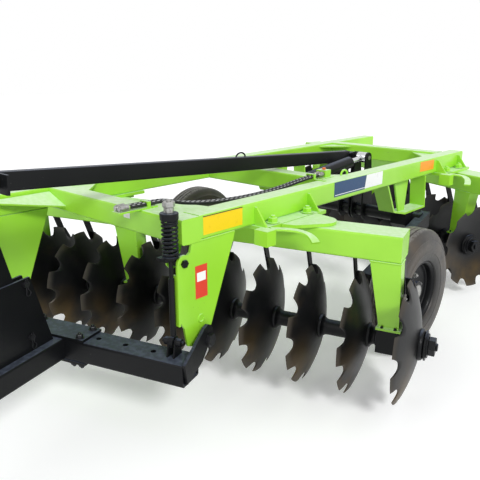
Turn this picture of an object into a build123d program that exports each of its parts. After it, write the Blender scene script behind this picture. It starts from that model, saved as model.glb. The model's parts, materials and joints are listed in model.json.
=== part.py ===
from build123d import *
from math import atan2, cos, degrees, hypot, radians, sin, sqrt, tan
import os

os.makedirs("parts", exist_ok=True)

# Heavy offset disc harrow: two gangs of notched discs under a welded tube frame, lifted by two transport wheels.
# Millimetres. Stations are given from the frame's centre line: x to the machine's left, y back from the face of
# the front cross beam, z up from the ground. The part's own origin is the centre of the drawbar's hitch bore.

# Frame
frame_width = 1260.0
tube = 120.0
tube_wall = 8.0
tube_corner = 12.0
frame_floor = 1000.0
left_beam_end = 3170.0
right_beam_front = -420.0
right_beam_end = 3680.0
mid_beam_y = 1300.0
rear_beam_y = 2920.0
plate = 12.0
gusset_leg = 210.0
gusset_plate = 10.0

# Drawbar hinge, at the feet of the two front legs
hinge_y = 120.0
hinge_z = 497.0
hinge_pin_radius = 20.0
draft_yaw = 18.0
leg_top_back = 357.0
leg_flange = 34.0
leg_foot_radius = 50.0
boss_radius = 36.0

# Drawbar
crossbar_depth = 152.0
crossbar_height = 115.0
crossbar_front = -235.0
crossbar_drop = 37.0
side_gap = 12.0
end_plate = 16.0
tongue_x = -747.0
tongue_width = 154.0
tongue_length = 1830.0
mast_plate = 12.0
mast_gap = 36.0

# Gangs
disc_diameter = 660.0
disc_thickness = 6.0
disc_dish = 75.0
disc_flat = 150.0
disc_pitch = 266.0
disc_count = 10
notch_count = 10
notch_depth = 52.0
notch_floor = 44.0
disc_lift = 80.0
gang_shaft = 41.0
spool_radius = 38.0
spool_flange_radius = 66.0
spool_flange = 14.0
disc_sides = 20
gang_beam_width = 200.0
gang_beam_height = 140.0
gang_beam_back = 50.0
gang_saddle = 20.0
bearing_length = 120.0
bearing_height = 130.0
leg_plate = 12.0

# Transport wheels
tyre_radius = 410.0
tyre_width = 205.0
rim_radius = 205.0
wheel_x = 980.0
wheel_y = 1620.0
rockshaft_y = 2350.0
rockshaft_z = 690.0
rockshaft_radius = 48.0
arm_width = 70.0
arm_height = 110.0

running_gap = 6.0
seat_gap = 0.3


def spot(base, x=0.0, y=0.0, z=0.0):
    # A point given along, back from and above a base plane's origin.
    return base.origin + base.x_dir * x + base.y_dir * y + base.z_dir * z


def level(base, x=0.0, y=0.0, z=0.0):
    # Flat plane at a station: sketches read (x, back), and extrusions rise.
    return Plane(spot(base, x, y, z), x_dir=base.x_dir, z_dir=base.z_dir)


def side(base, x=0.0, y=0.0, z=0.0):
    # Upright plane seen from the left: sketches read (back, up), and extrusions run left.
    return Plane(spot(base, x, y, z), x_dir=base.y_dir, z_dir=base.x_dir)


def front(base, x=0.0, y=0.0, z=0.0):
    # Upright plane seen from the front: sketches read (left, up), and extrusions run forward.
    return Plane(spot(base, x, y, z), x_dir=base.x_dir, z_dir=-base.y_dir)


half_frame = frame_width / 2
frame_top = frame_floor + tube
axle_z = disc_lift + disc_diameter / 2

# The hinge line runs through both leg feet, skewed by the draft yaw. The drawbar is square to it.
left_leg_x = half_frame - plate / 2
right_leg_x = -half_frame + tube - plate / 2
leg_span = (left_leg_x - right_leg_x) / cos(radians(draft_yaw))
leg_shift = (left_leg_x - right_leg_x) * tan(radians(draft_yaw))
hitch_reach = -crossbar_front + tongue_length
hitch_z = hinge_z - crossbar_drop - crossbar_height / 2
hitch_x = left_leg_x + tongue_x * cos(radians(draft_yaw)) + hitch_reach * sin(radians(draft_yaw))
hitch_y = hinge_y + tongue_x * sin(radians(draft_yaw)) - hitch_reach * cos(radians(draft_yaw))

rig = Plane((-hitch_x, -hitch_y, -hitch_z))
draft = level(rig, left_leg_x, hinge_y, hinge_z).rotated((0, 0, draft_yaw))


def save(made, label):
    made.part.label = label
    export_step(made.part, f"parts/{label}.step")


def tube_section(plane, width, height, wall, corner):
    # Hollow rectangular tube's section, open at both ends once extruded.
    with BuildSketch(plane) as section:
        RectangleRounded(width, height, corner)
        Rectangle(width - 2 * wall, height - 2 * wall, mode=Mode.SUBTRACT)
    return section.sketch


# Side beams and cross beams
with BuildPart() as left_side_beam:
    left_end = front(rig, half_frame - tube / 2, left_beam_end, frame_floor + tube / 2)
    extrude(tube_section(left_end, tube, tube, tube_wall, tube_corner), amount=left_beam_end - tube)
save(left_side_beam, "left_side_beam")

with BuildPart() as right_side_beam:
    right_end = front(rig, -half_frame + tube / 2, right_beam_end, frame_floor + tube / 2)
    extrude(tube_section(right_end, tube, tube, tube_wall, tube_corner), amount=right_beam_end - right_beam_front)
save(right_side_beam, "right_side_beam")

inner_span = frame_width - 2 * tube
with BuildPart() as front_cross_beam:
    front_end = side(rig, -half_frame + tube, tube / 2, frame_floor + tube / 2)
    extrude(tube_section(front_end, tube, tube, tube_wall, tube_corner), amount=inner_span + tube)
save(front_cross_beam, "front_cross_beam")

for label, beam_y in (("mid_cross_beam", mid_beam_y), ("rear_cross_beam", rear_beam_y)):
    with BuildPart() as cross_beam:
        beam_start = side(rig, -half_frame + tube, beam_y + tube / 2, frame_floor + tube / 2)
        extrude(tube_section(beam_start, tube, tube, tube_wall, tube_corner), amount=inner_span)
    save(cross_beam, label)

# End caps close the beams' open ends. Columns: x of the cap's centre, y, direction it stands off.
cap_thickness = 6.0
cap_table = (
    (half_frame - tube / 2, left_beam_end, 1),
    (-half_frame + tube / 2, right_beam_end, 1),
    (-half_frame + tube / 2, right_beam_front, -1),
)
with BuildPart() as beam_end_caps:
    for cap_x, cap_y, outward in cap_table:
        with BuildSketch(front(rig, cap_x, cap_y, frame_floor + tube / 2)):
            RectangleRounded(tube, tube, tube_corner)
        extrude(amount=-outward * cap_thickness)
    with BuildSketch(side(rig, half_frame, tube / 2, frame_floor + tube / 2)):
        RectangleRounded(tube, tube, tube_corner)
    extrude(amount=cap_thickness)
save(beam_end_caps, "beam_end_caps")

# Corner gussets lie flat at mid height between side beams and cross beams.
# Columns: x of the corner, y of the corner, direction along x, direction along y.
inner_x = half_frame - tube
gusset_table = (
    (inner_x, tube, -1, 1),
    (-inner_x, tube, 1, 1),
    (-inner_x, mid_beam_y + tube, 1, 1),
    (inner_x, mid_beam_y + tube, -1, 1),
    (inner_x, rear_beam_y, -1, -1),
    (-inner_x, rear_beam_y, 1, -1),
)
gusset_z = frame_top - 26.0
with BuildPart() as corner_gussets:
    for gusset_x, gusset_y, toward_x, toward_y in gusset_table:
        with BuildSketch(level(rig, gusset_x, gusset_y, gusset_z)):
            Polygon(
                (0, 0), (toward_x * gusset_leg, 0), (0, toward_y * gusset_leg),
                align=None,
            )
        extrude(amount=gusset_plate)
save(corner_gussets, "corner_gussets")

# The front gusset slopes from the forward end of the right beam down to the front beam's face.
slope_run = 170.0
slope_drop = 60.0
slope_tilt = degrees(atan2(slope_drop, slope_run))
slope_plane = level(rig, -inner_x + gusset_plate / 2, 0, frame_top - 24.0).rotated((0, slope_tilt, 0))
with BuildPart() as front_gusset:
    with BuildSketch(slope_plane):
        Polygon((0, 0), (hypot(slope_run, slope_drop), 0), (0, right_beam_front + 10.0), align=None)
    extrude(amount=-gusset_plate)
save(front_gusset, "front_gusset")


# Front legs: plates under the side beams that taper down to the drawbar's hinge
leg_front = -28.0
leg_flange_floor = 606.0
leg_flange_top = 860.0


def leg_outline(x, y_shift):
    with BuildSketch(side(rig, x - plate / 2, y_shift, 0)) as outline:
        Polygon(
            (leg_front, 640), (leg_front, 905), (52, 957), (64, frame_floor), (leg_top_back, frame_floor),
            (leg_top_back - 12, frame_floor - 40), (247, 715), (175, 533), (hinge_y + leg_foot_radius, hinge_z),
            (hinge_y - 40, hinge_z - 30), (22, hinge_z - 7), (5, 585), align=None,
        )
        with Locations((hinge_y, hinge_z)):
            Circle(leg_foot_radius)
    return outline.sketch


def leg_flange_section(x, y_shift, inward):
    with BuildSketch(level(rig, x - inward * plate / 2, y_shift + leg_front, leg_flange_floor)) as section:
        Rectangle(leg_flange, plate, align=(Align.MIN if inward > 0 else Align.MAX, Align.MIN))
    return section.sketch


def disc_of(plane, radius):
    with BuildSketch(plane) as section:
        Circle(radius)
    return section.sketch


boss_half = 24.0
far_boss = 62.0
hinge_clearance = 0.05
trunnion_y = 13.0
trunnion_z = 912.0
ear_radius = 40.0
rod_x = 604.0
rod_y = -44.0
with BuildPart() as left_front_leg:
    extrude(leg_outline(left_leg_x, 0), amount=plate)
    extrude(leg_flange_section(left_leg_x, 0, -1), amount=leg_flange_top - leg_flange_floor)
    with BuildSketch(side(rig, left_leg_x - plate / 2)):
        with Locations((trunnion_y, trunnion_z)):
            Circle(ear_radius)
    extrude(amount=plate)
    extrude(disc_of(side(draft, -boss_half), boss_radius), amount=2 * boss_half)
    extrude(disc_of(side(draft, -boss_half), hinge_pin_radius + hinge_clearance), amount=2 * boss_half, mode=Mode.SUBTRACT)
save(left_front_leg, "left_front_leg")

with BuildPart() as right_front_leg:
    extrude(leg_outline(right_leg_x, -leg_shift), amount=plate)
    extrude(leg_flange_section(right_leg_x, -leg_shift, 1), amount=leg_flange_top - leg_flange_floor)
    far_foot = side(draft, -leg_span - far_boss)
    extrude(disc_of(far_foot, boss_radius), amount=far_boss + boss_half)
    extrude(disc_of(far_foot, hinge_pin_radius + hinge_clearance), amount=far_boss + boss_half, mode=Mode.SUBTRACT)
save(right_front_leg, "right_front_leg")

# The inner ear of the levelling trunnion hangs from the front beam.
inner_ear_x = left_leg_x - plate / 2 - 64.0
with BuildPart() as trunnion_ear:
    with BuildSketch(side(rig, inner_ear_x - plate)):
        with Locations((trunnion_y, trunnion_z)):
            RegularPolygon(ear_radius, 12)
        Polygon(
            (trunnion_y - ear_radius + 4, trunnion_z), (trunnion_y + ear_radius - 4, trunnion_z),
            (80, frame_floor), (0, frame_floor), align=None,
        )
    extrude(amount=plate)
save(trunnion_ear, "trunnion_ear")

# Trunnion: a tube between the ears, a flat shelf forward from it that the rod slides through, and the washer
# that the spring stands on
trunnion_radius = 24.0
rod_radius = 10.0
shelf = 14.0
shelf_half = 30.0
washer_height = 8.0
shelf_floor = trunnion_z + trunnion_radius
washer_floor = shelf_floor + shelf
with BuildPart() as rod_trunnion:
    with BuildSketch(side(rig, inner_ear_x + seat_gap, trunnion_y, trunnion_z)):
        RegularPolygon(trunnion_radius, 12, major_radius=False)
    extrude(amount=left_leg_x - plate / 2 - inner_ear_x - 2 * seat_gap)
    with BuildSketch(level(rig, left_leg_x - plate / 2 - seat_gap, trunnion_y + 14, shelf_floor)):
        Rectangle(left_leg_x - plate / 2 - inner_ear_x - 2 * seat_gap, 112, align=(Align.MAX, Align.MAX))
    extrude(amount=shelf)
    with BuildSketch(level(rig, rod_x, rod_y, washer_floor)):
        RegularPolygon(41, 16)
    extrude(amount=washer_height)
    with BuildSketch(side(rig, left_leg_x + plate / 2, trunnion_y, trunnion_z)):
        RegularPolygon(20, 6)
    extrude(amount=12)
    with BuildSketch(level(rig, rod_x, rod_y, shelf_floor - 10)):
        Circle(rod_radius + 0.5)
    extrude(amount=120, mode=Mode.SUBTRACT)
save(rod_trunnion, "rod_trunnion")

# Gangs. Each base plane lies at the hub of the left end disc, along the gang's shaft.
# Columns: label, hub x, hub y, yaw, side the dishes open to (-1 right, 1 left), discs with a bearing in their dish,
# beam's left end along the shaft.
gang_table = (
    ("front", 1374.0, 949.0, 16.9, -1, (0, 6, 9), -115.0),
    ("rear", 870.0, 2888.0, -22.0, 1, (1, 5, 9), 140.0),
)
bearing_offset = 150.0
journal_gap = 0.3
scraper_offset = 120.0
gang_beam_top = frame_floor - gang_saddle
gang_beam_floor = gang_beam_top - gang_beam_height
bearing_top = axle_z + bearing_height / 2
foot_plate = 12.0
disc_radius = disc_diameter / 2
leg_top = gang_beam_floor - axle_z
leg_foot = bearing_top + foot_plate - axle_z
clamp_inner = half_frame - tube - 10.0
clamp_outer = 713.0
clamp_rise = 95.0
stop_block = 80.0
# Columns: gang, side of the frame (1 left, -1 right), plate's front edge, plate's rear edge, stop block's place.
clamp_table = (
    ("front", 1, 490.0, 1035.0, 475.0),
    ("front", -1, 140.0, 685.0, 700.0),
    ("rear", 1, 2660.0, 3140.0, 2650.0),
    ("rear", -1, 3200.0, 3670.0, 3185.0),
)
end_washer = 62.0
end_washer_length = 22.0
end_nut = 32.0
end_nut_length = 34.0
half_facet = radians(180.0 / disc_sides)
base_axis = Vector(0, 0, 1)


for gang, hub_x, hub_y, yaw, opens, bearing_discs, beam_left in gang_table:
    base = level(rig, hub_x, hub_y, axle_z).rotated((0, 0, yaw))
    last_hub = -(disc_count - 1) * disc_pitch
    beam_right = last_hub - 240.0 if opens < 0 else last_hub - 60.0
    back = -disc_thickness * opens

    # Notched disc in flat facets: a centre with a square shaft hole, then facets that rise to the rim by turns
    # notched and whole
    slope = atan2(opens * disc_dish, (disc_radius - disc_flat / 2) * cos(half_facet))
    root = -disc_flat / 2 * cos(half_facet) * tan(slope)
    inner_reach = disc_flat / 2 * cos(half_facet) / cos(slope)
    outer_reach = disc_radius * cos(half_facet) / cos(slope)
    notch = [
        (outer_reach - notch_depth + 14, -notch_floor / 2), (outer_reach - notch_depth, -notch_floor / 4),
        (outer_reach - notch_depth, notch_floor / 4), (outer_reach - notch_depth + 14, notch_floor / 2),
    ]
    with BuildPart() as blade:
        with BuildSketch(Plane.XY):
            RegularPolygon(disc_flat / 2, disc_sides, rotation=degrees(half_facet))
            Rectangle(gang_shaft, gang_shaft, mode=Mode.SUBTRACT)
        extrude(amount=back)
        for facet in range(disc_sides):
            angle = 2 * facet * half_facet
            along = Vector(cos(angle) * cos(slope), sin(angle) * cos(slope), sin(slope))
            tangent = Vector(-sin(angle), cos(angle), 0)
            with BuildSketch(Plane((0, 0, root), x_dir=along, z_dir=along.cross(tangent))):
                Polygon(
                    (inner_reach, -disc_flat / 2 * sin(half_facet)), (outer_reach, -disc_radius * sin(half_facet)),
                    *(notch if facet % 2 == 0 else []),
                    (outer_reach, disc_radius * sin(half_facet)), (inner_reach, disc_flat / 2 * sin(half_facet)),
                    align=None,
                )
            extrude(amount=disc_thickness, dir=base_axis * -opens)

    # A quarter turn on the square shaft puts every other disc's notches half a notch round.
    with BuildPart() as gang_discs:
        for index in range(disc_count):
            with Locations(side(base, -index * disc_pitch).location * Rotation(0, 0, 90 * (index % 2))):
                add(blade.part)
    save(gang_discs, f"{gang}_gang_discs")

    # Square shaft with a flanged spool between each two discs, and a washer and nut at each end
    with BuildPart() as gang_spools:
        shaft_left = end_washer_length + end_nut_length + 14
        with BuildSketch(side(base, last_hub - shaft_left - disc_thickness)):
            Rectangle(gang_shaft - 2 * seat_gap, gang_shaft - 2 * seat_gap)
        extrude(amount=-last_hub + 2 * shaft_left + 2 * disc_thickness)
        for index in range(disc_count - 1):
            start = -index * disc_pitch - (disc_thickness if opens > 0 else 0)
            end = -(index + 1) * disc_pitch + (0 if opens > 0 else disc_thickness)
            for spool_start, spool_end, radius in (
                (start, end, spool_radius),
                (start, start - spool_flange, spool_flange_radius),
                (end, end + spool_flange, spool_flange_radius),
            ):
                with BuildSketch(side(base, spool_start)):
                    RegularPolygon(radius, 10)
                extrude(amount=spool_end - spool_start)
        outer_left = disc_thickness if opens < 0 else 0
        outer_right = last_hub - (disc_thickness if opens > 0 else 0)
        for face, outward in ((outer_left, 1), (outer_right, -1)):
            with BuildSketch(side(base, face)):
                RegularPolygon(end_washer, 10)
            extrude(amount=outward * end_washer_length)
            with BuildSketch(side(base, face + outward * end_washer_length)):
                RegularPolygon(end_nut, 6)
            extrude(amount=outward * end_nut_length)
    save(gang_spools, f"{gang}_gang_spools")

    # Gang beam
    with BuildPart() as gang_beam:
        beam_end = side(base, beam_right, gang_beam_back, gang_beam_floor + gang_beam_height / 2 - axle_z)
        extrude(
            tube_section(beam_end, gang_beam_width, gang_beam_height, tube_wall, tube_corner),
            amount=beam_left - beam_right,
        )
    save(gang_beam, f"{gang}_gang_beam")

    # Legs carry the bearing housings, each in a disc's dish
    bearing_places = [-index * disc_pitch + opens * bearing_offset for index in bearing_discs]
    with BuildPart() as gang_legs:
        for centre in bearing_places:
            with BuildSketch(front(base, centre, 50)):
                Polygon(
                    (-52, leg_foot), (52, leg_foot), (opens * 40 + 78, leg_top), (opens * 40 - 78, leg_top), align=None,
                )
            extrude(amount=100)
            with BuildSketch(level(base, centre, 0, leg_foot)):
                Rectangle(128, 130)
            extrude(amount=-foot_plate)
    save(gang_legs, f"{gang}_gang_legs")

    with BuildPart() as gang_bearings:
        for centre in bearing_places:
            with BuildSketch(side(base, centre - bearing_length / 2)):
                Rectangle(120, bearing_height)
                RegularPolygon(
                    spool_radius + journal_gap, 10, major_radius=False, rotation=18, mode=Mode.SUBTRACT,
                )
            extrude(amount=bearing_length)
    save(gang_bearings, f"{gang}_gang_bearings")

    # Scrapers: a flat bar from the back of the gang beam's floor to a blade in each disc's dish
    with BuildPart() as gang_scrapers:
        for index in range(disc_count):
            stand = -index * disc_pitch + opens * scraper_offset
            with BuildSketch(side(base, stand)):
                Polygon(
                    (gang_beam_back + 40, leg_top), (gang_beam_back + 90, leg_top),
                    (235, 195), (195, 170), align=None,
                )
            extrude(amount=opens * 10.0)
    save(gang_scrapers, f"{gang}_gang_scrapers")

    # Clamp plates between the gang beam and each side beam, with two upright gussets and a stop block each
    with BuildPart() as gang_saddles:
        for saddle_gang, turn, saddle_front, saddle_back, block in clamp_table:
            if saddle_gang != gang:
                continue
            plate_middle = turn * (clamp_inner + clamp_outer) / 2
            with BuildSketch(level(rig, plate_middle, (saddle_front + saddle_back) / 2, gang_beam_top)):
                Rectangle(clamp_outer - clamp_inner, saddle_back - saddle_front)
            extrude(amount=gang_saddle)
            for gusset_y in (saddle_front + 24, saddle_back - 60):
                with BuildSketch(front(rig, 0, gusset_y, frame_floor)):
                    Polygon(
                        (turn * half_frame, 0), (turn * clamp_outer, 0), (turn * (half_frame + 14), clamp_rise),
                        (turn * half_frame, clamp_rise), align=None,
                    )
                extrude(amount=plate)
            with BuildSketch(level(rig, turn * (clamp_outer + 15), block, frame_floor)):
                Rectangle(84, 70)
            extrude(amount=-stop_block)
    save(gang_saddles, f"{gang}_gang_saddles")

# Axle: a rockshaft under two hangers of bent plate, with an arm forward to each wheel
wheel_z = tyre_radius
arm_reach = hypot(rockshaft_y - wheel_y, rockshaft_z - wheel_z)
hanger_floor = 746.0
hanger_front = 1908.0
hanger_rear = 2486.0
with BuildPart() as axle_hangers:
    for hanger_x in (half_frame - tube / 2, -half_frame + tube / 2):
        with BuildSketch(side(rig, hanger_x - tube / 2)):
            Polygon(
                (hanger_front, frame_floor), (2025, 790), (2200, hanger_floor), (2530, hanger_floor),
                (hanger_rear + 14, frame_floor), (hanger_rear, frame_floor), (2514, hanger_floor + 14),
                (2204, hanger_floor + 14), (2034, 802), (hanger_front + 16, frame_floor), align=None,
            )
        extrude(amount=tube)
        with BuildSketch(side(rig, hanger_x - plate / 2)):
            Polygon((2107, frame_floor), (2204, hanger_floor + 10), (2290, hanger_floor + 10), (2323, frame_floor), align=None)
        extrude(amount=plate)
save(axle_hangers, "axle_hangers")

with BuildPart() as axle_bearings:
    for hanger_x in (half_frame - tube / 2, -half_frame + tube / 2):
        with BuildSketch(side(rig, hanger_x - tube / 2)):
            Polygon(
                (2215, hanger_floor), (2215, 660), (2270, 606), (2430, 606), (2485, 660), (2485, hanger_floor),
                align=None,
            )
        extrude(amount=tube)
        extrude(disc_of(side(rig, hanger_x - tube / 2, rockshaft_y, rockshaft_z), rockshaft_radius + 0.5), amount=tube, mode=Mode.SUBTRACT)
save(axle_bearings, "axle_bearings")

arm_x = half_frame + 30.0 + arm_width / 2
with BuildPart() as rockshaft:
    with BuildSketch(side(rig, -arm_x, rockshaft_y, rockshaft_z)):
        Circle(rockshaft_radius)
    extrude(amount=2 * arm_x)
    for turn in (1, -1):
        with BuildSketch(side(rig, turn * arm_x - arm_width / 2)):
            Polygon(
                (rockshaft_y + 60, rockshaft_z + arm_height / 2),
                (wheel_y - 50, wheel_z + arm_height / 2), (wheel_y - 50, wheel_z - arm_height / 2),
                (rockshaft_y + 60, rockshaft_z - arm_height / 2), align=None,
            )
        extrude(amount=arm_width)
        with BuildSketch(side(rig, turn * (arm_x + arm_width / 2), wheel_y, wheel_z)):
            Circle(32)
        extrude(amount=turn * (wheel_x - arm_x - arm_width / 2 + 60))
save(rockshaft, "rockshaft")

lever_top = 1112.0
lever_y = 2330.0
top_beam_x = 55.0
cylinder_x = 175.0
lever_plate = 12.0
eye_half = 38.0
eye_side_gap = 3.0
with BuildPart() as lift_levers:
    for lever_x in (top_beam_x, cylinder_x):
        for ear in (-1, 1):
            ear_x = lever_x + ear * (eye_half + eye_side_gap + lever_plate / 2)
            with BuildSketch(side(rig, ear_x - lever_plate / 2)):
                with BuildLine():
                    Polyline(
                        (rockshaft_y - 80, rockshaft_z), (lever_y - 40, lever_top),
                        (lever_y + 40, lever_top), (rockshaft_y + 80, rockshaft_z),
                        (rockshaft_y - 80, rockshaft_z),
                    )
                make_face()
                with Locations((lever_y, lever_top)):
                    RegularPolygon(42, 12)
                with Locations((rockshaft_y, rockshaft_z)):
                    RegularPolygon(84, 12)
                    Circle(rockshaft_radius, mode=Mode.SUBTRACT)
                with Locations((lever_y, lever_top)):
                    Circle(16, mode=Mode.SUBTRACT)
            extrude(amount=lever_plate)
save(lift_levers, "lift_levers")

with BuildPart() as lever_pins:
    for lever_x in (top_beam_x, cylinder_x):
        pin_reach = eye_half + eye_side_gap + lever_plate + 6
        with BuildSketch(side(rig, lever_x - pin_reach, lever_y, lever_top)):
            Circle(16 - 0.05)
        extrude(amount=2 * pin_reach)
save(lever_pins, "lever_pins")

# Wheels
for wheel, turn in (("left", 1), ("right", -1)):
    hub_plane = side(rig, turn * wheel_x, wheel_y, wheel_z)
    spin = Axis(hub_plane.origin, hub_plane.z_dir)
    half = tyre_width / 2
    section = Plane(hub_plane.origin, x_dir=rig.z_dir, z_dir=-rig.y_dir)
    with BuildPart() as tyre:
        with BuildSketch(section):
            Polygon(
                (rim_radius, -half * 0.62), (rim_radius + 105, -half), (tyre_radius, -half * 0.62),
                (tyre_radius, half * 0.62), (rim_radius + 105, half), (rim_radius, half * 0.62),
                align=None,
            )
        revolve(axis=spin)
    save(tyre, f"{wheel}_tyre")

    with BuildPart() as wheel_rim:
        with BuildSketch(Plane(hub_plane.origin, x_dir=rig.z_dir, z_dir=-rig.y_dir)):
            Polygon(
                (70, turn * 2), (70, turn * 16), (rim_radius - 22, turn * 32),
                (rim_radius - 22, turn * half * 0.62), (rim_radius, turn * half * 0.62),
                (rim_radius, -turn * half * 0.62), (rim_radius - 22, -turn * half * 0.62),
                (rim_radius - 22, turn * 18),
                align=None,
            )
        revolve(axis=spin)
    save(wheel_rim, f"{wheel}_rim")

    with BuildPart() as wheel_hub:
        with BuildSketch(side(rig, turn * (wheel_x - 45), wheel_y, wheel_z)):
            Circle(70)
        extrude(amount=turn * 105)
        with BuildSketch(side(rig, turn * (wheel_x - 46), wheel_y, wheel_z)):
            Circle(32.3)
        extrude(amount=turn * 107, mode=Mode.SUBTRACT)
    save(wheel_hub, f"{wheel}_hub")

# Drawbar: crossbar between two end plates, hinged on the leg feet
bar_left = boss_half + seat_gap
bar_right = -leg_span - far_boss - seat_gap
bar_middle_y = crossbar_front + crossbar_depth / 2
bar_middle_z = -crossbar_drop - crossbar_height / 2
crossbar_holes = (-180.0, -343.0, -506.0, -995.0, -1158.0)
with BuildPart() as crossbar:
    bar_end = side(draft, bar_right, bar_middle_y, bar_middle_z)
    extrude(tube_section(bar_end, crossbar_depth, crossbar_height, 10.0, tube_corner), amount=bar_left - bar_right)
    with BuildSketch(level(draft, 0, bar_middle_y, -crossbar_drop)):
        with Locations(*((hole_x, 0) for hole_x in crossbar_holes)):
            RegularPolygon(15, 8)
    extrude(amount=-20, mode=Mode.SUBTRACT)
save(crossbar, "crossbar")

with BuildPart() as drawbar_ears:
    for ear_x, turn in ((bar_left, 1), (bar_right, -1)):
        with BuildSketch(side(draft, ear_x)):
            Polygon(
                (crossbar_front, -31), (-38, 75), (-5, 82), (28, 66), (46, 38), (45, 14), (-66, -87),
                (crossbar_front + 20, -137), align=None,
            )
            Circle(hinge_pin_radius, mode=Mode.SUBTRACT)
        extrude(amount=turn * end_plate)
save(drawbar_ears, "drawbar_ears")

with BuildPart() as hinge_pins:
    for pin_x, turn, boss in (
        (bar_left + end_plate, -1, 2 * boss_half), (bar_right - end_plate, 1, far_boss + boss_half),
    ):
        with BuildSketch(side(draft, pin_x)):
            Circle(hinge_pin_radius - 0.05)
        extrude(amount=turn * (end_plate + boss + 12))
        with BuildSketch(side(draft, pin_x)):
            RegularPolygon(34, 6)
        extrude(amount=-turn * 22)
save(hinge_pins, "hinge_pins")

with BuildPart() as tongue:
    tongue_root = front(draft, tongue_x, crossbar_front, bar_middle_z)
    extrude(tube_section(tongue_root, tongue_width, crossbar_height, 10.0, tube_corner), amount=tongue_length - 120)
save(tongue, "tongue")

hitch_bore = 17.0
with BuildPart() as hitch_head:
    for plate_z in (-44.0, 24.0):
        with BuildSketch(level(rig, hitch_x, hitch_y, hitch_z + plate_z).rotated((0, 0, draft_yaw))):
            with Locations((0, 60)):
                Rectangle(110, 150)
            Circle(55)
            Circle(hitch_bore, mode=Mode.SUBTRACT)
        extrude(amount=20)
    with BuildSketch(front(draft, tongue_x, crossbar_front - tongue_length + 120, bar_middle_z)):
        Rectangle(tongue_width, crossbar_height)
    extrude(amount=16)
save(hitch_head, "hitch_head")

# The tongue's clamp plates lie on and under the crossbar, bolted through its row of holes
with BuildPart() as tongue_clamps:
    for clamp_z, turn in ((-crossbar_drop, 1), (-crossbar_drop - crossbar_height, -1)):
        with BuildSketch(level(draft, tongue_x, bar_middle_y, clamp_z)):
            Rectangle(400, crossbar_depth)
        extrude(amount=turn * 14)
save(tongue_clamps, "tongue_clamps")

# Mast: two plates on the tongue, a sliding upper part between them, and the top beam's pin
mast_base = -crossbar_drop
mast_front = 597.0
lower_top = 334.0
mast_top_y = -629.0
mast_top_z = 822.0
mast_pin_table = ((-400.0, 36.0, 14.0), (-400.0, 308.0, 14.0), (-745.0, 165.0, 14.0))
with BuildPart() as mast_plates:
    for ear in (-1, 1):
        with BuildSketch(side(draft, tongue_x + ear * (mast_gap / 2 + mast_plate / 2) - mast_plate / 2)):
            Polygon(
                (crossbar_front - 20, mast_base), (crossbar_front - 130, lower_top),
                (crossbar_front - mast_front, lower_top), (crossbar_front - mast_front - 60, mast_base),
                align=None,
            )
            for pin_y, pin_z, radius in mast_pin_table:
                with Locations((pin_y, pin_z)):
                    Circle(radius + 0.1, mode=Mode.SUBTRACT)
        extrude(amount=mast_plate)
save(mast_plates, "mast_plates")

mast_head_plate = 10.0
head_floor = 78.0
mast_pin_radius = 15.0
with BuildPart() as mast_head:
    for ear in (-1, 1):
        inner = mast_gap / 2 - seat_gap - mast_head_plate
        with BuildSketch(side(draft, tongue_x + ear * (inner + mast_head_plate / 2) - mast_head_plate / 2)):
            with BuildLine():
                Polyline(
                    (crossbar_front - 150, head_floor), (mast_top_y + 46, mast_top_z), (mast_top_y - 46, mast_top_z),
                    (crossbar_front - mast_front + 40, head_floor), (crossbar_front - 150, head_floor),
                )
            make_face()
            with Locations((mast_top_y, mast_top_z)):
                Circle(46)
                Circle(mast_pin_radius + 0.1, mode=Mode.SUBTRACT)
            for pin_y, pin_z, radius in mast_pin_table:
                with Locations((pin_y, pin_z)):
                    Circle(radius + 0.1, mode=Mode.SUBTRACT)
        extrude(amount=mast_head_plate)
save(mast_head, "mast_head")

# Pins hold the mast's two parts together, and the top beam's pin crosses its head.
fork_slack = 12.0
fork_gap = mast_gap + 2 * fork_slack
fork_cheek = 12.0
pin_half = fork_gap / 2 + fork_cheek + fork_slack
with BuildPart() as mast_pins:
    for pin_y, pin_z, radius in mast_pin_table:
        with BuildSketch(side(draft, tongue_x - mast_gap / 2 - mast_plate - 14, pin_y, pin_z)):
            Circle(radius)
        extrude(amount=mast_gap + 2 * mast_plate + 28)
    with BuildSketch(side(draft, tongue_x - pin_half - 8, mast_top_y, mast_top_z)):
        Circle(mast_pin_radius)
    extrude(amount=2 * pin_half + 16)
    for outward in (-1, 1):
        with BuildSketch(side(draft, tongue_x + outward * pin_half, mast_top_y, mast_top_z)):
            Circle(42)
        extrude(amount=outward * 8)
save(mast_pins, "mast_pins")

# Top beam from a fork at the mast's head to an eye on the rear lever's pin
mast_pin = spot(draft, tongue_x, mast_top_y, mast_top_z)
lever_pin = spot(rig, top_beam_x, lever_y, lever_top)
top_run = mast_pin - lever_pin
top_beam_height = 86.0
top_beam_width = fork_gap
top_beam_axis = top_run.normalized()
beam_side = Vector(-top_run.Y, top_run.X, 0).normalized()
fork_reach = 130.0
eye_reach = 60.0
with BuildPart() as top_beam:
    with BuildSketch(Plane(lever_pin + top_beam_axis * eye_reach, x_dir=beam_side, z_dir=top_beam_axis)):
        RectangleRounded(top_beam_width, top_beam_height, 8)
        RectangleRounded(top_beam_width - 16, top_beam_height - 16, 4, mode=Mode.SUBTRACT)
    extrude(amount=top_run.length - eye_reach - fork_reach)
save(top_beam, "top_beam")

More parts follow.
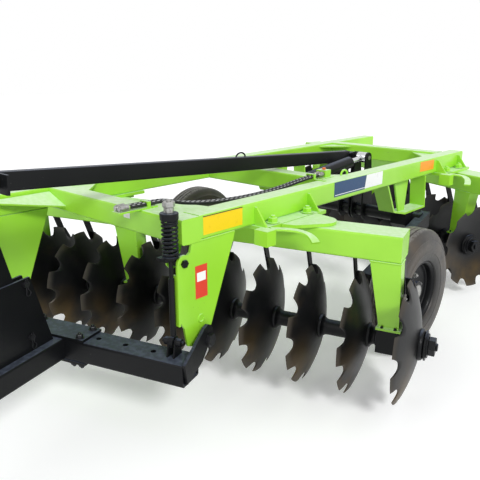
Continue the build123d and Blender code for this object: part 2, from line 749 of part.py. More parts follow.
# Fork: an end plate square to the beam, and two cheeks that stand along the mast's own plates
fork_plate = 12.0
fork_end = Plane(lever_pin + top_beam_axis * (top_run.length - fork_reach), x_dir=beam_side, z_dir=top_beam_axis)
with BuildPart() as top_beam_fork:
    for cheek in (-1, 1):
        cheek_x = tongue_x + cheek * (fork_gap / 2 + fork_cheek / 2) - fork_cheek / 2
        with BuildSketch(side(draft, cheek_x, mast_top_y, mast_top_z)):
            with BuildLine():
                Polyline((0, -38), (2 * fork_reach, -38), (2 * fork_reach, 38), (0, 38))
                ThreePointArc((0, 38), (-38, 0), (0, -38))
            make_face()
            Circle(mast_pin_radius + fork_slack, mode=Mode.SUBTRACT)
        extrude(amount=fork_cheek)
    with BuildSketch(fork_end.offset(fork_plate / 2)):
        Rectangle(4 * fork_reach, 4 * fork_reach)
    extrude(amount=-4 * fork_reach, mode=Mode.SUBTRACT)
    with BuildSketch(fork_end):
        Rectangle(2 * fork_reach, top_beam_height)
    extrude(amount=fork_plate)
save(top_beam_fork, "top_beam_fork")

eye_slack = 0.8
with BuildPart() as top_beam_eye:
    with BuildSketch(side(rig, top_beam_x - eye_half, lever_y, lever_top)):
        Circle(36)
        Rectangle(2 * eye_reach, 60, align=(Align.MAX, Align.CENTER))
        Circle(16 + eye_slack, mode=Mode.SUBTRACT)
    extrude(amount=2 * eye_half)
    with BuildSketch(Plane(lever_pin + top_beam_axis * eye_reach, x_dir=beam_side, z_dir=top_beam_axis)):
        Rectangle(4 * eye_reach, 4 * eye_reach)
    extrude(amount=4 * eye_reach, mode=Mode.SUBTRACT)
save(top_beam_eye, "top_beam_eye")

# Levelling rod with its spring above the trunnion
rod_top = 1212.0
rod_eye_z = 530.0
rod_foot = rod_eye_z + 22.0
lug_pin = 10.0
eye_drift = 9.5
lug_half = 18.0
lug_plate = 8.0
spring_floor = washer_floor + washer_height + seat_gap
spring_top = 1148.0
spring_radius = 39.0
wire = 6.0
lug_spot = draft.to_local_coords(spot(rig, rod_x, rod_y, hinge_z))
lug_x = lug_spot.X
lug_y = lug_spot.Y
with BuildPart() as levelling_rod:
    with BuildSketch(level(rig, rod_x, rod_y, rod_foot)):
        Circle(rod_radius)
    extrude(amount=rod_top - rod_foot)
    with BuildSketch(level(rig, rod_x, rod_y, spring_top + seat_gap)):
        RegularPolygon(spring_radius + 3, 16)
    extrude(amount=10)
    with BuildSketch(level(rig, rod_x, rod_y, spring_top + seat_gap + 10)):
        RegularPolygon(21, 6)
    extrude(amount=26)
    with BuildSketch(side(draft, lug_x - 9, lug_y, rod_eye_z - hinge_z)):
        RegularPolygon(lug_pin + eye_drift + 12, 12)
        Circle(lug_pin + eye_drift, mode=Mode.SUBTRACT)
    extrude(amount=18)
save(levelling_rod, "levelling_rod")

# The rod's lower lug: two ears on the crossbar with a pin through them
with BuildPart() as rod_lug:
    for ear in (-1, 1):
        with BuildSketch(side(draft, lug_x + ear * lug_half - lug_plate / 2, lug_y)):
            Polygon(
                (-36, -crossbar_drop), (36, -crossbar_drop), (19, rod_eye_z - hinge_z + 8), (8, rod_eye_z - hinge_z + 20),
                (-8, rod_eye_z - hinge_z + 20), (-19, rod_eye_z - hinge_z + 8), align=None,
            )
        extrude(amount=lug_plate)
    with BuildSketch(side(draft, lug_x - lug_half - 14, lug_y, rod_eye_z - hinge_z)):
        Circle(lug_pin)
    extrude(amount=2 * lug_half + 20)
save(rod_lug, "rod_lug")

# The spring's turns as stacked rings on a thin inner sleeve
turns = 7
spring_pitch = (spring_top - spring_floor - 2 * wire) / turns
with BuildPart() as levelling_spring:
    for turn in range(turns + 1):
        with BuildSketch(level(rig, rod_x, rod_y, spring_floor + turn * spring_pitch)):
            RegularPolygon(spring_radius, 16)
            RegularPolygon(spring_radius - 2 * wire, 16, mode=Mode.SUBTRACT)
        extrude(amount=2 * wire)
    with BuildSketch(level(rig, rod_x, rod_y, spring_floor + wire)):
        RegularPolygon(spring_radius - wire, 16)
        RegularPolygon(spring_radius - wire - 3, 16, mode=Mode.SUBTRACT)
    extrude(amount=turns * spring_pitch)
save(levelling_spring, "levelling_spring")

# Lift cylinder between the mid cross beam and its lever
anchor_y = mid_beam_y + tube + 70.0
anchor_z = frame_floor + 30.0
anchor = spot(rig, cylinder_x, anchor_y, anchor_z)
stroke_end = spot(rig, cylinder_x, lever_y, lever_top)
stroke = stroke_end - anchor
stroke_axis = stroke.normalized()
barrel_length = 600.0
rod_eye_drift = 8.0
with BuildPart() as cylinder_anchor:
    for ear in (-1, 1):
        with BuildSketch(side(rig, cylinder_x + ear * 34 - 6)):
            with Locations((anchor_y, anchor_z)):
                Circle(34)
            Polygon(
                (mid_beam_y + tube, anchor_z - 34), (anchor_y, anchor_z - 34), (anchor_y, anchor_z + 34),
                (mid_beam_y + tube, anchor_z + 60), align=None,
            )
        extrude(amount=12)
    with BuildSketch(side(rig, cylinder_x - 40, anchor_y, anchor_z)):
        Circle(14)
    extrude(amount=80)
save(cylinder_anchor, "cylinder_anchor")

with BuildPart() as cylinder_barrel:
    with BuildSketch(Plane(anchor + stroke_axis * 40, x_dir=rig.x_dir, z_dir=stroke_axis)):
        Circle(45)
    extrude(amount=barrel_length)
    with BuildSketch(Plane(anchor + stroke_axis * 20, x_dir=rig.x_dir, z_dir=stroke_axis)):
        Circle(24)
    extrude(amount=30)
    with BuildSketch(side(rig, cylinder_x - 27, anchor_y, anchor_z)):
        Circle(30)
    extrude(amount=54)
    with BuildSketch(side(rig, cylinder_x - 27, anchor_y, anchor_z)):
        Circle(14.1)
    extrude(amount=54, mode=Mode.SUBTRACT)
    with BuildSketch(Plane(anchor + stroke_axis * 140, x_dir=rig.x_dir, z_dir=stroke_axis)):
        Circle(21.5)
    extrude(amount=barrel_length, mode=Mode.SUBTRACT)
save(cylinder_barrel, "cylinder_barrel")

with BuildPart() as cylinder_rod:
    with BuildSketch(Plane(anchor + stroke_axis * (barrel_length - 220), x_dir=rig.x_dir, z_dir=stroke_axis)):
        Circle(21)
    extrude(amount=stroke.length - barrel_length + 220 - 32)
    with BuildSketch(side(rig, cylinder_x - eye_half, lever_y, lever_top)):
        Circle(40)
    extrude(amount=2 * eye_half)
    with BuildSketch(side(rig, cylinder_x - eye_half, lever_y, lever_top)):
        Circle(16 + rod_eye_drift)
    extrude(amount=2 * eye_half, mode=Mode.SUBTRACT)
save(cylinder_rod, "cylinder_rod")

# Parking stand: a sleeve on the tongue and a foot leg that slides in it
stand_y = crossbar_front - 1445.0
stand_x = tongue_x + tongue_width / 2 + 45.0
stand_top = 240.0
sleeve_reach = 20.0
with BuildPart() as stand_sleeve:
    with BuildSketch(level(draft, stand_x, stand_y, bar_middle_z - crossbar_height / 2 - sleeve_reach)):
        Rectangle(80, 80)
        Rectangle(64, 64, mode=Mode.SUBTRACT)
    extrude(amount=crossbar_height + 2 * sleeve_reach)
    with BuildSketch(level(draft, stand_x - 40, stand_y, bar_middle_z - crossbar_height / 2 + 20)):
        Rectangle(5, 80, align=(Align.MAX, Align.CENTER))
    extrude(amount=crossbar_height - 40)
save(stand_sleeve, "stand_sleeve")

with BuildPart() as stand_leg:
    with BuildSketch(level(draft, stand_x, stand_y, -hinge_z + 12)):
        Rectangle(62, 62)
        Rectangle(50, 50, mode=Mode.SUBTRACT)
    extrude(amount=hinge_z - 12 + stand_top - 100)
    with BuildSketch(level(draft, stand_x, stand_y, -hinge_z)):
        RectangleRounded(220, 220, 20)
    extrude(amount=12)
save(stand_leg, "stand_leg")

# Two hydraulic hoses from a port block on the mid beam, along the left beam, to couplers parked on the front beam.
# Columns: x, y, z of the route's points.
hose_radius = 9.5
hose_spacing = 28.0
hose_route = (
    (475, 1334.8, 1141), (475, 1120, 1139), (466, 900, 1128), (430, 680, 1121), (376, 470, 1121), (338, 260, 1130),
    (330, 60, 1141), (330, -59.8, 1143),
)
clip_hole = hose_radius + 1.0
with BuildPart() as hoses:
    for shift in (0, -hose_spacing):
        stops = [spot(rig, x + shift, y, z) for x, y, z in hose_route]
        bends = []
        for before, here, after in zip(stops, stops[1:], stops[2:]):
            half_turn = radians((here - before).get_angle(after - here)) / 2
            bends.append(0.45 * min((here - before).length, (after - here).length) / tan(half_turn))
        print("hose bend radii", [round(bend) for bend in bends])
        with BuildLine() as route:
            FilletPolyline(*stops, radius=bends)
        with BuildSketch(Plane(stops[0], z_dir=route.line % 0)) as section:
            Circle(hose_radius)
        sweep(sections=section.sketch, path=route.line)
save(hoses, "hoses")

clip_back = 1240.0
clip_front = 62.0
clip_depth = 20.0
with BuildPart() as hose_clips:
    with BuildSketch(level(rig, 461, 1365, frame_top)):
        Rectangle(70, 60)
    extrude(amount=44)
    for clip_y, clip_x, clip_z, floor_z in ((clip_back, 461, 1140, frame_top + 6), (clip_front, 316, 1141, frame_top + 8)):
        with BuildSketch(front(rig, clip_x, clip_y)):
            with Locations((0, (floor_z + clip_z + 15) / 2)):
                Rectangle(60, clip_z + 15 - floor_z)
            with Locations((hose_spacing / 2, clip_z), (-hose_spacing / 2, clip_z)):
                Circle(clip_hole, mode=Mode.SUBTRACT)
        extrude(amount=clip_depth)
    with BuildSketch(level(rig, 500, clip_back - clip_depth / 2, frame_top)):
        Rectangle(138, clip_depth)
    extrude(amount=6)
    with BuildSketch(level(rig, 316, -10, frame_top)):
        Rectangle(60, 230)
    extrude(amount=8)
    for shift in (0, -hose_spacing):
        with BuildSketch(front(rig, 330 + shift, -60, 1143)):
            RegularPolygon(15.5, 6, rotation=30)
        extrude(amount=50)
save(hose_clips, "hose_clips")
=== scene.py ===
import bpy
import json
import numpy as np
from math import comb, cos, pi, radians, sin, tau
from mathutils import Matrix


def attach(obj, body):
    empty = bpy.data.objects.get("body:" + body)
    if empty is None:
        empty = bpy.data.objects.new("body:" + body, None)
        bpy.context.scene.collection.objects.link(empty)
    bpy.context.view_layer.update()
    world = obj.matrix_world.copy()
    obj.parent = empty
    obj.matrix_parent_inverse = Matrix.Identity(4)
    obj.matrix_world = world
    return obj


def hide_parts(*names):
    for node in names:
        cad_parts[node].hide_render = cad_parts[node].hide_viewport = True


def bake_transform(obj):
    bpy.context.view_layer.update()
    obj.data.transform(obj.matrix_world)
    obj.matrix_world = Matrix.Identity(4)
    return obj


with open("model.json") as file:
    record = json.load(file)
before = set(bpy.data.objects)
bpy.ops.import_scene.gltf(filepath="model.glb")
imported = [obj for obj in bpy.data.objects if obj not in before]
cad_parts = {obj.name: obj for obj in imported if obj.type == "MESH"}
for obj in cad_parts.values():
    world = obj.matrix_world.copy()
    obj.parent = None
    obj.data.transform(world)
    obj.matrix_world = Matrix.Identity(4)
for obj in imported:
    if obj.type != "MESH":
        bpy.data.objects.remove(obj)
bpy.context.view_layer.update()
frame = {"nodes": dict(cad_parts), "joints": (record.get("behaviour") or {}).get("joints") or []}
nodes = frame["nodes"]
joints = {joint["child"]: joint for joint in frame["joints"]}

upward = np.array((0.0, 0.0, 1.0))
leftward = np.array((1.0, 0.0, 0.0))
backward = np.array((0.0, 1.0, 0.0))


def hinge(body):
    # Where a body turns: the joint's place, its axis, and the level direction square to it
    joint = joints[body]
    axis = np.array(joint["axis"])
    return np.array(joint["pos_m"]), axis, np.cross(upward, axis)


# Places below are metres: x to the machine's left from the frame's centre line, y back from the front beam's
# face, z up from the ground. The model's own origin is the hitch bore, and the wheels' hubs tie the two.
wheels = {"y": 1.620, "radius": 0.410}
midHub = (hinge("left_wheel")[0] + hinge("right_wheel")[0]) / 2
origin = midHub - (0, wheels["y"], wheels["radius"])


def spot(x, y, z):
    return origin + (x, y, z)


def tint(code):
    # Screen colour written as hex, turned into the linear values that a shader takes.
    shares = [int(code[i:i + 2], 16) / 255 for i in (1, 3, 5)]
    return (*[s / 12.92 if s <= 0.04045 else ((s + 0.055) / 1.055) ** 2.4 for s in shares], 1.0)


# Shader arithmetic
class Wire:
    # One socket in a finish. Sums and products written with it become Math nodes.
    def __init__(self, finish, socket):
        self.finish = finish
        self.socket = socket

    def math(self, operation, first, second):
        return self.finish.node("ShaderNodeMath", {"operation": operation}, {0: first, 1: second})

    def __add__(self, other):
        return self.math("ADD", self, other)

    def __radd__(self, other):
        return self.math("ADD", other, self)

    def __mul__(self, other):
        return self.math("MULTIPLY", self, other)

    def __rmul__(self, other):
        return self.math("MULTIPLY", other, self)


class Finish:
    # A material around one Principled shader, or the world's own nodes.
    def __init__(self, name, owner=None):
        self.material = owner or bpy.data.materials.new(name)
        self.material.use_nodes = True
        self.tree = self.material.node_tree
        self.tree.nodes.clear()

    def node(self, kind, settings=None, values=None, output=0):
        made = self.tree.nodes.new(kind)
        for key, value in (settings or {}).items():
            setattr(made, key, value)
        for key, value in (values or {}).items():
            if isinstance(value, Wire):
                self.tree.links.new(value.socket, made.inputs[key])
            else:
                made.inputs[key].default_value = value
        return Wire(self, made.outputs[output]) if made.outputs else made

    def place(self):
        return self.node("ShaderNodeTexCoord", None, None, "Object")

    def noise(self, scale, detail=3.0, stretch=(1, 1, 1)):
        place = self.node("ShaderNodeMapping", None, {"Vector": self.place(), "Scale": stretch})
        return self.noiseAt(place, scale, detail)

    def noiseAt(self, place, scale, detail):
        values = {"Vector": place, "Scale": scale, "Detail": detail}
        return self.node("ShaderNodeTexNoise", None, values, "Fac")

    def band(self, value, low, high):
        # 0 below low, 1 above high, with a soft step between
        smooth = {"interpolation_type": "SMOOTHSTEP"}
        return self.node("ShaderNodeMapRange", smooth, {0: value, 1: low, 2: high})

    def mix(self, share, first, second):
        return self.node("ShaderNodeMix", {"data_type": "RGBA"}, {0: share, 6: first, 7: second}, 2)

    def facing(self, axis):
        normal = self.node("ShaderNodeNewGeometry", None, None, "Normal")
        return self.node("ShaderNodeSeparateXYZ", None, {0: normal}, axis)

    def along(self, axis):
        return self.node("ShaderNodeSeparateXYZ", None, {0: self.place()}, axis)

    def attribute(self, name):
        return self.node("ShaderNodeAttribute", {"attribute_name": name}, None, "Fac")

    def bump(self, height, strength, depth):
        return self.node("ShaderNodeBump", None, {"Strength": strength, "Distance": depth, "Height": height})

    def backdropRays(self):
        # 1 for rays that only look at the backdrop: from the camera, in a reflection or through glass
        share = 0.0
        for ray in ("Is Camera Ray", "Is Glossy Ray", "Is Transmission Ray"):
            seen = self.node("ShaderNodeLightPath", None, None, ray)
            share = self.node("ShaderNodeMath", {"operation": "MAXIMUM"}, {0: seen, 1: share})
        return share

    def done(self, values):
        shader = self.node("ShaderNodeBsdfPrincipled", None, values)
        self.node("ShaderNodeOutputMaterial", None, {"Surface": shader})
        return self.material


# Each paint's top colour goes on faces that look up. It is partly dust and partly a painted sky reflection: pale
# on the lime, blue-grey on the black.
paints = {
    "limePaint": {
        "face": "#9ddc38", "shade": "#90d02c", "top": "#e2f4da", "upDustAndSkyShare": 0.52, "gloss": 0.30,
        "coat": 0.25, "shine": 0.5,
    },
    "satinBlack": {
        "face": "#0d0e10", "shade": "#131416", "top": "#6b7488", "upDustAndSkyShare": 0.24, "gloss": 0.30,
        "coat": 0.03, "shine": 0.16,
    },
}


def sprayedPaint(name, face, shade, top, upDustAndSkyShare, gloss, coat, shine):
    # Sprayed paint: slight orange peel, uneven tone, dust with a painted sky reflection on what faces up, and a
    # few chips
    finish = Finish(name)
    broad = finish.noise(2.2, 4.0)
    fine = finish.noise(38.0, 5.0)
    body = finish.mix(finish.band(broad, 0.3, 0.75), tint(face), tint(shade))
    # Dust and a painted sky reflection: faces that look up are mixed toward the top colour
    dust = finish.band(finish.facing("Z"), 0.75, 0.98) * (upDustAndSkyShare + 0.25 * finish.band(fine, 0.35, 0.75))
    dustedAndSkyLit = finish.mix(dust, body, tint(top))
    chips = finish.band(finish.noise(95.0, 2.0), 0.735, 0.76) * finish.band(broad, 0.52, 0.6)
    colour = finish.mix(chips, dustedAndSkyLit, tint("#4a4a44"))
    rough = gloss + 0.16 * fine + 0.25 * dust
    peel = finish.noise(420.0, 1.0) + 2.0 * finish.noise(9.0, 2.0)
    return finish.done({
        "Base Color": colour, "Roughness": rough, "Specular IOR Level": shine,
        "Normal": finish.bump(peel, 0.12, 0.002), "Coat Weight": coat, "Coat Roughness": 0.12,
    })


discLook = {
    "coat": "#0d0e0f", "coatShade": "#171718", "soil": "#4a3a1c", "rim": "#4a443c",
    "soilTop": 0.12, "soilFoot": -0.22,  # heights above the hitch bore
}


def discSteel():
    # Rolled steel in a dark dip coat: turned rings, a worn rim, and soil on what hangs low when parked.
    # Reach is the distance from the hub as a share of the radius.
    finish = Finish("discSteel")
    reach = finish.attribute("reach")
    rings = finish.node("ShaderNodeCombineXYZ", None, {0: reach * 60.0, 1: 0.0, 2: 0.0})
    ringNoise = finish.noiseAt(rings, 1.0, 3.0)
    patch = finish.noise(7.0, 5.0)
    worn = finish.band(reach + 0.10 * patch, 0.93, 1.06)
    body = finish.mix(finish.band(patch, 0.3, 0.7), tint(discLook["coat"]), tint(discLook["coatShade"]))
    low = finish.band(finish.along("Z"), discLook["soilTop"], discLook["soilFoot"])
    soil = low * finish.band(finish.noise(3.2, 4.0), 0.38, 0.62) * finish.band(reach, 0.25, 0.75)
    browned = 0.35 * finish.band(patch + 0.35 * reach, 0.80, 1.15) + 0.85 * soil
    colour = finish.mix(0.55 * worn, finish.mix(browned, body, tint(discLook["soil"])), tint(discLook["rim"]))
    scratched = finish.bump(ringNoise + 0.6 * finish.noise(150.0, 3.0), 0.10, 0.002)
    return finish.done({
        "Base Color": colour, "Roughness": 0.30 + 0.20 * patch + 0.1 * worn, "Metallic": 0.08,
        "Specular IOR Level": 0.24, "Normal": scratched,
    })


# The colour at the bead is painted shade. The tread colour is dust and a painted highlight.
tyreLook = {
    "rubber": "#2b2a29", "rubberShade": "#464039", "paintedBeadShade": "#191817", "soil": "#5a4a36", "treadDustAndHighlight": "#8b8984",
}


def tyreRubber():
    # Grey rubber with painted shade darkening it towards the bead, patches of soil, and dust with a painted
    # highlight on the tread ribs, the grooves left darker. Reach is as on the discs.
    finish = Finish("tyreRubber")
    grain = finish.noise(60.0, 6.0)
    broad = finish.noise(6.0, 4.0)
    reach = finish.attribute("reach")
    colour = finish.mix(finish.band(broad, 0.3, 0.7), tint(tyreLook["rubber"]), tint(tyreLook["rubberShade"]))
    # Painted shade: the sidewall darkens towards the bead
    paintedBeadShade = finish.mix(finish.band(reach, 0.50, 0.78), tint(tyreLook["paintedBeadShade"]), colour)
    soiled = finish.mix(0.40 * finish.band(finish.noise(3.5, 4.0), 0.45, 0.70), paintedBeadShade, tint(tyreLook["soil"]))
    # Dust and a painted highlight on the crown's ribs. The grooves fall lower on the band and stay darker.
    dust = 0.50 * finish.band(reach, 0.965, 0.995) * finish.band(grain, 0.3, 0.6)
    return finish.done({
        "Base Color": finish.mix(dust, soiled, tint(tyreLook["treadDustAndHighlight"])), "Roughness": 0.34 + 0.22 * grain,
        "Normal": finish.bump(grain, 0.25, 0.002),
    })


def bareSteel(name, face, shade, metallic, rough):
    # Plated or turned steel with faint streaks
    finish = Finish(name)
    streak = finish.noise(14.0, 5.0, (1, 1, 9))
    spots = finish.noise(70.0, 4.0)
    return finish.done({
        "Base Color": finish.mix(finish.band(spots, 0.45, 0.75), tint(face), tint(shade)),
        "Roughness": rough + 0.18 * streak, "Metallic": metallic,
        "Normal": finish.bump(streak + spots, 0.08, 0.001),
    })


def hoseRubber():
    # Black hose with a fine weave and a broken white line along one side
    finish = Finish("hoseRubber")
    weave = finish.noise(260.0, 2.0)
    side = finish.band(0.55 * finish.facing("X") + 0.83 * finish.facing("Z"), 0.965, 0.98)
    dash = finish.node("ShaderNodeMath", {"operation": "SINE"}, {0: finish.along("Y") * 210.0})
    line = side * finish.band(dash, -0.25, 0.0)
    return finish.done({
        "Base Color": finish.mix(line, tint("#141518"), tint("#b4b6b6")), "Roughness": 0.42 + 0.15 * weave,
        "Normal": finish.bump(weave, 0.3, 0.001),
    })


def stickerFilm(name, face, dusty):
    # Plain film: even colour, slightly dusty, softly glossy
    finish = Finish(name)
    dust = finish.noise(45.0, 5.0)
    return finish.done({
        "Base Color": finish.mix(finish.band(dust, 0.55, 0.8), tint(face), tint(dusty)),
        "Roughness": 0.32 + 0.2 * dust, "Normal": finish.bump(dust, 0.05, 0.001),
    })


limePaint, satinBlack = (sprayedPaint(name, **look) for name, look in paints.items())
discFinish = discSteel()
rubberFinish = tyreRubber()
zincFinish = bareSteel("platedSteel", "#a9a9a6", "#85837d", metallic=0.85, rough=0.28)
chromeFinish = bareSteel("chromedRod", "#d6d8da", "#c2c4c6", metallic=1.0, rough=0.10)
darkBolt = bareSteel("blackedBolt", "#26272a", "#37373a", metallic=0.6, rough=0.34)
hoseFinish = hoseRubber()
print("finishes made")

# Finishes of the model's own pieces, by words in their names. All others are satin black.
nodeFinishes = (
    (limePaint, (
        "side_beam", "cross_beam", "beam_end_caps", "gusset", "front_leg", "trunnion_ear", "gang_beam",
        "gang_legs", "gang_saddles", "axle_hangers", "cylinder_anchor", "hose_clips",
    )),
    (zincFinish, ("lever_pins",)),
    (chromeFinish, ("cylinder_rod",)),
    (darkBolt, ("hinge_pins", "mast_pins")),
)
for name, piece in nodes.items():
    chosen = [finish for finish, words in nodeFinishes if any(word in name for word in words)]
    piece.data.materials.clear()
    piece.data.materials.append(chosen[0] if chosen else satinBlack)
print("model's own pieces painted")


# Surfaces: every piece is one or more closed shells, each with its points, its faces and a value called reach
# that its finish may read
def skin(rings, closed=False, reach=None):
    # Rings of equal length joined by quads. An open row gets a face at each end, a closed one joins its ends.
    # Where the volume that the faces enclose comes out negative, they are turned round to face outward.
    rows, around = rings.shape[:2]
    index = np.arange(rows * around).reshape(rows, around)
    lower = index if closed else index[:-1]
    upper = np.roll(index, -1, axis=0) if closed else index[1:]
    corners = lower, np.roll(lower, -1, axis=1), np.roll(upper, -1, axis=1), upper
    quads = np.stack(corners, axis=-1).reshape(-1, 4)
    points = rings.reshape(-1, 3)
    caps = [] if closed else [index[0][::-1].tolist(), index[-1].tolist()]
    centre = points.mean(axis=0)
    a, b, c, d = (points[quads[:, k]] - centre for k in range(4))
    volume = (a * np.cross(b, c)).sum() + (a * np.cross(c, d)).sum()
    for cap in caps:
        ring = points[cap] - centre
        volume += (ring[0] * np.cross(ring[1:-1], ring[2:])).sum()
    faces = quads.tolist() + caps
    if volume < 0:
        faces = [face[::-1] for face in faces]
    return points, faces, np.broadcast_to(0.0 if reach is None else reach, (rows, around)).reshape(-1)


def turned(profile, centre, axis, start, count=48, closed=False, reach=None):
    # A profile of (along, radius) carried round an axis:
    # centre + along * axis + radius * (cosine of the angle * start + sine of the angle * side)
    along, radius = np.asarray(profile, dtype=float).T
    side = np.cross(axis, start)
    angle = np.arange(count) * tau / count
    rim = np.cos(angle)[:, None] * start + np.sin(angle)[:, None] * side
    rings = centre + along[:, None, None] * axis + radius[:, None, None] * rim
    return skin(rings, closed, None if reach is None else np.asarray(reach)[:, None])


def tubeAlong(path, radius, sides=10, guide=leftward):
    # A round section carried along a path, square to the path's own direction at each point
    way = np.gradient(path, axis=0)
    way /= np.linalg.norm(way, axis=1)[:, None]
    across = np.cross(way, guide)
    across /= np.linalg.norm(across, axis=1)[:, None]
    other = np.cross(way, across)
    angle = np.arange(sides) * tau / sides
    size = np.broadcast_to(radius, (len(path),))[:, None, None]
    circle = np.cos(angle)[:, None] * across[:, None] + np.sin(angle)[:, None] * other[:, None]
    return skin(path[:, None] + size * circle)


def flatPlate(corners, outward, thickness):
    # An outline raised by its thickness
    outline = np.asarray(corners, dtype=float)
    return skin(np.stack((outline, outline + np.asarray(outward) * thickness)))


def bowed(points, count=28):
    # Smooth curve drawn by its control points: each weighted by its share in the binomial sum
    points = np.asarray(points, dtype=float)
    t = np.linspace(0, 1, count)[:, None]
    top = len(points) - 1
    order = np.arange(top + 1)
    return (np.array([comb(top, k) for k in order]) * t ** order * (1 - t) ** (top - order)) @ points


def barAlong(path, width, thickness, chamfer=0.002):
    # A flat bar with chamfered edges carried along a path, its width kept level
    way = np.gradient(path, axis=0)
    across = np.cross(way, upward)
    across /= np.linalg.norm(across, axis=1)[:, None]
    other = np.cross(across, way)
    other /= np.linalg.norm(other, axis=1)[:, None]
    half, thin = width / 2, thickness / 2
    corner = np.array(((half, thin - chamfer), (half - chamfer, thin)))
    upper = np.concatenate((corner, corner[::-1] * (-1, 1)))
    section = np.concatenate((upper, -upper))
    return skin(path[:, None] + section[:, :1] * across[:, None] + section[:, 1:] * other[:, None])


weld = {"radius": 0.0042, "step": 0.005, "ripple": 0.22, "rippleRate": 700}


def weldBead(start, end):
    # A thin straight tube whose radius ripples with the sine of the distance along it
    start, end = np.asarray(start, dtype=float), np.asarray(end, dtype=float)
    length = np.linalg.norm(end - start)
    share = np.linspace(0, 1, max(int(length / weld["step"]), 5))
    guide = leftward if abs(end[2] - start[2]) > 0.5 * length else upward
    radius = weld["radius"] * (1 + weld["ripple"] * np.sin(share * length * weld["rippleRate"]))
    return tubeAlong(start + share[:, None] * (end - start), radius, 7, guide)


def addPiece(name, shells, body, finish, stands=(), sharpFrom=32.0):
    # Joins the shells into one mesh. Edges are sharp from the given angle in degrees.
    points, faces, reach, base = [], [], [], 0
    for shellPoints, shellFaces, shellReach in shells:
        points.append(shellPoints)
        faces += [[base + corner for corner in face] for face in shellFaces]
        reach.append(shellReach)
        base += len(shellPoints)
    mesh = bpy.data.meshes.new(name)
    mesh.from_pydata(np.concatenate(points).tolist(), [], faces)
    mesh.polygons.foreach_set("use_smooth", np.ones(len(mesh.polygons), dtype=bool))
    mesh.set_sharp_from_angle(angle=radians(sharpFrom))
    values = mesh.attributes.new("reach", "FLOAT", "POINT").data
    values.foreach_set("value", np.concatenate(reach).astype(np.float32))
    mesh.materials.append(finish)
    mesh.update()
    piece = bpy.data.objects.new(name, mesh)
    bpy.context.scene.collection.objects.link(piece)
    if body:
        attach(piece, body)
    if stands:
        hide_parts(*stands)
    return piece


# A bolt's proportions: the first row as shares of its radius over the corners, the second of its height
bolt = {
    "seat": 0.14, "chamfered": 0.88, "thread": 0.5, "tipRadius": 0.44,
    "chamferFrom": 0.86, "threadEnd": 1.35, "tip": 1.42,
}


def hexBolt(centre, axis, radius, height, washer=1.32):
    # Washer, chamfered hexagon and a short threaded end
    start = np.cross(axis, backward if abs(axis[1]) < 0.9 else upward)
    start /= np.linalg.norm(start)
    seat, thread = radius * bolt["seat"], radius * bolt["thread"]
    profiles = (
        (((0, radius * washer), (seat, radius * washer)), 24),
        (((seat, radius), (height * bolt["chamferFrom"], radius), (height, radius * bolt["chamfered"])), 6),
        (((height, thread), (height * bolt["threadEnd"], thread),
          (height * bolt["tip"], radius * bolt["tipRadius"])), 16),
    )
    return [turned(profile, centre, axis, start, around) for profile, around in profiles]


# Gangs of notched discs, whose joints stand at the left end disc's hub. Opens is the way that the discs' hollows
# face, bearings are counted in discs from the hub, and ends are where the gang beam ends along the shaft.
gangs = {
    "front": {"opens": -1, "bearings": (0, 6, 9), "ends": (-0.115, -2.634)},
    "rear": {"opens": 1, "bearings": (1, 5, 9), "ends": (0.140, -2.454)},
}
discs = {
    "count": 10, "pitch": 0.266, "radius": 0.330, "dish": 0.075, "flat": 0.074, "dishedTo": 0.326,
    "thickness": 0.006, "rimEdge": 0.0018, "bore": 0.024, "notches": 10, "notchDepth": 0.052,
    "notchHalf": 0.25, "around": 240, "steps": (0, 0.17, 0.2, 0.3, 0.45, 0.6, 0.75, 0.88, 0.955, 1.0),
}


def gangSpot(gang, along, behind=0.0, above=0.0):
    # Places counted from the hub: along the shaft to the left, square to it backward, and up
    along, behind, above = (np.asarray(part)[..., None] for part in (along, behind, above))
    return gang["hub"] + along * gang["left"] + behind * gang["back"] + above * upward


def dishDepth(radius):
    # The dish rises from its flat by a part straight and a part squared in radius
    climb = np.clip((radius - discs["flat"]) / (discs["dishedTo"] - discs["flat"]), 0, None)
    return discs["dish"] * (0.5 * climb + 0.5 * climb ** 2)


def notchedDisc(gang, index):
    # Rim radius is whole over half of each pitch, and drawn in by depth * (1 - share^3) over the other half.
    # The back follows the hollow by the thickness, which narrows to an edge at the rim.
    angle = np.arange(discs["around"]) * tau / discs["around"]
    quarter = index % 2 * pi / 2
    phase = ((angle - quarter) * discs["notches"] / tau + 0.5) % 1 - 0.5
    share = np.clip(np.abs(phase) / discs["notchHalf"], 0, 1)
    rim = discs["radius"] - discs["notchDepth"] * (1 - share ** 3)
    steps = np.array(discs["steps"])[:, None]
    radius = discs["bore"] + (rim - discs["bore"]) * steps
    hollow = dishDepth(radius) * gang["opens"]
    wall = hollow - gang["opens"] * np.where(steps > 0.99, discs["rimEdge"], discs["thickness"])
    across = np.concatenate((hollow, wall[::-1])) - index * discs["pitch"]
    radius = np.concatenate((radius, radius[::-1]))
    rings = gangSpot(gang, across, radius * np.cos(angle), radius * np.sin(angle))
    return skin(rings, True, radius / discs["radius"])


# Spools and what closes the shaft's ends, as (distance from the disc's face, radius)
spoolBell = (
    (0, 0.0655), (0.009, 0.0655), (0.013, 0.0635), (0.016, 0.0580), (0.021, 0.0520), (0.028, 0.0470),
    (0.036, 0.0440), (0.050, 0.0430),
)
shaftEnds = (  # profile, then the points around it
    (((0, 0.0830), (0.006, 0.0835), (0.015, 0.0800), (0.024, 0.0680), (0.028, 0.0590)), 40),  # end piece
    (((0.0265, 0.0790), (0.0330, 0.0790), (0.0345, 0.0775)), 40),  # broad washer
    (((0.0345, 0.0640), (0.0420, 0.0640), (0.0435, 0.0625)), 32),  # small washer
    (((0.0435, 0.0460), (0.0460, 0.0490), (0.0760, 0.0490), (0.0785, 0.0460)), 6),  # nut
    (((0.0785, 0.0205), (0.0870, 0.0205), (0.0890, 0.018)), 24),  # end of the thread
)


